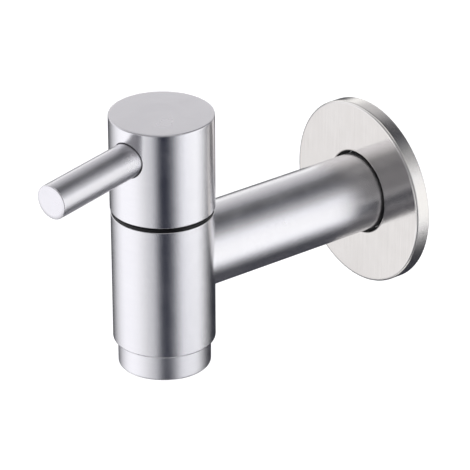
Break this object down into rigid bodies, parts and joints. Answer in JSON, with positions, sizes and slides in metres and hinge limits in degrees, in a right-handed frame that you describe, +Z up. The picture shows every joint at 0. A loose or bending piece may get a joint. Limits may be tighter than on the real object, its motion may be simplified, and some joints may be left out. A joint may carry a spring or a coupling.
{
  "type": "wall tap",
  "caption": "Wall-mounted utility sink tap: upright round column on a level arm with a round wall cover, lever cap above, quarter-turn ceramic valve inside, aerator below.",
  "frame": {"origin": "on the arm's axis where it meets the wall plane, inside the supply thread", "axes": "+Y along the arm into the wall, +Z up along the column, +X to the right seen from the front"},
  "size_m": [0.0714, 0.1736, 0.1002],
  "materials": {
    "brushed_column": "satin brushed stainless steel, column and aerator ring",
    "brushed_cap": "satin brushed stainless steel, lever cap",
    "brushed_lever": "finely brushed stainless steel bar",
    "brushed_arm": "lengthwise polished stainless steel tube",
    "brushed_cover": "straight brushed stainless steel sheet",
    "steel_inside": "turned stainless steel, hidden",
    "spring_steel": "spring steel",
    "turned_brass": "turned brass",
    "ring_black": "black moulded acetal",
    "white_plastic": "white moulded acetal",
    "seal_rubber": "black nitrile rubber",
    "disc_ceramic": "lapped alumina ceramic",
    "screen_steel": "woven stainless screen"
  },
  "bodies": {
    "tap_body": {"body_shell": "brushed_column", "valve_carrier": "turned_brass", "outlet_bush": "turned_brass", "arm_tube": "brushed_arm", "inlet_nipple": "steel_inside", "nipple_o_ring": "seal_rubber", "headwork_body": "turned_brass", "headwork_o_ring": "seal_rubber", "headwork_seal": "seal_rubber", "fixed_disc": "disc_ceramic", "slip_ring": "ring_black"},
    "handle": {"handle_cap": "brushed_cap", "handle_hub": "turned_brass", "lever_rod": "brushed_lever", "lever_stud": "spring_steel", "spindle": "turned_brass", "spindle_o_rings": "seal_rubber", "moving_disc": "disc_ceramic", "thrust_washer": "white_plastic", "stop_ring": "spring_steel", "spindle_clip": "spring_steel"},
    "cover": {"wall_cover": "brushed_cover", "cover_o_ring": "seal_rubber"},
    "outlet_washer": {"aerator_washer": "seal_rubber"},
    "aerator": {"aerator_sleeve": "brushed_column", "aerator_insert": "white_plastic", "aerator_screens": "screen_steel", "aerator_grid": "white_plastic"}
  },
  "joints": [
    {"name": "lever_turn", "type": "hinge", "parent": "tap_body", "child": "handle", "pos_m": [0, -0.0972, 0.0402], "axis": [0, 0, 1], "range_deg": [0, 90]},
    {"name": "cover_slide", "type": "slide", "parent": "tap_body", "child": "cover", "axis": [0, -1, 0], "range_m": [0, 0.07]},
    {"name": "aerator_drop", "type": "slide", "parent": "tap_body", "child": "outlet_washer", "axis": [0, 0, -1], "range_m": [0, 0.007]},
    {"name": "aerator_turn", "type": "hinge", "parent": "outlet_washer", "child": "aerator", "pos_m": [0, -0.0972, -0.036], "axis": [0, 0, -1], "range_deg": [0, 2520]}
  ],
  "couplings": [
    {"joint": "aerator_drop", "follows": "aerator_turn", "m_per_rad": 0.00015915}
  ]
}
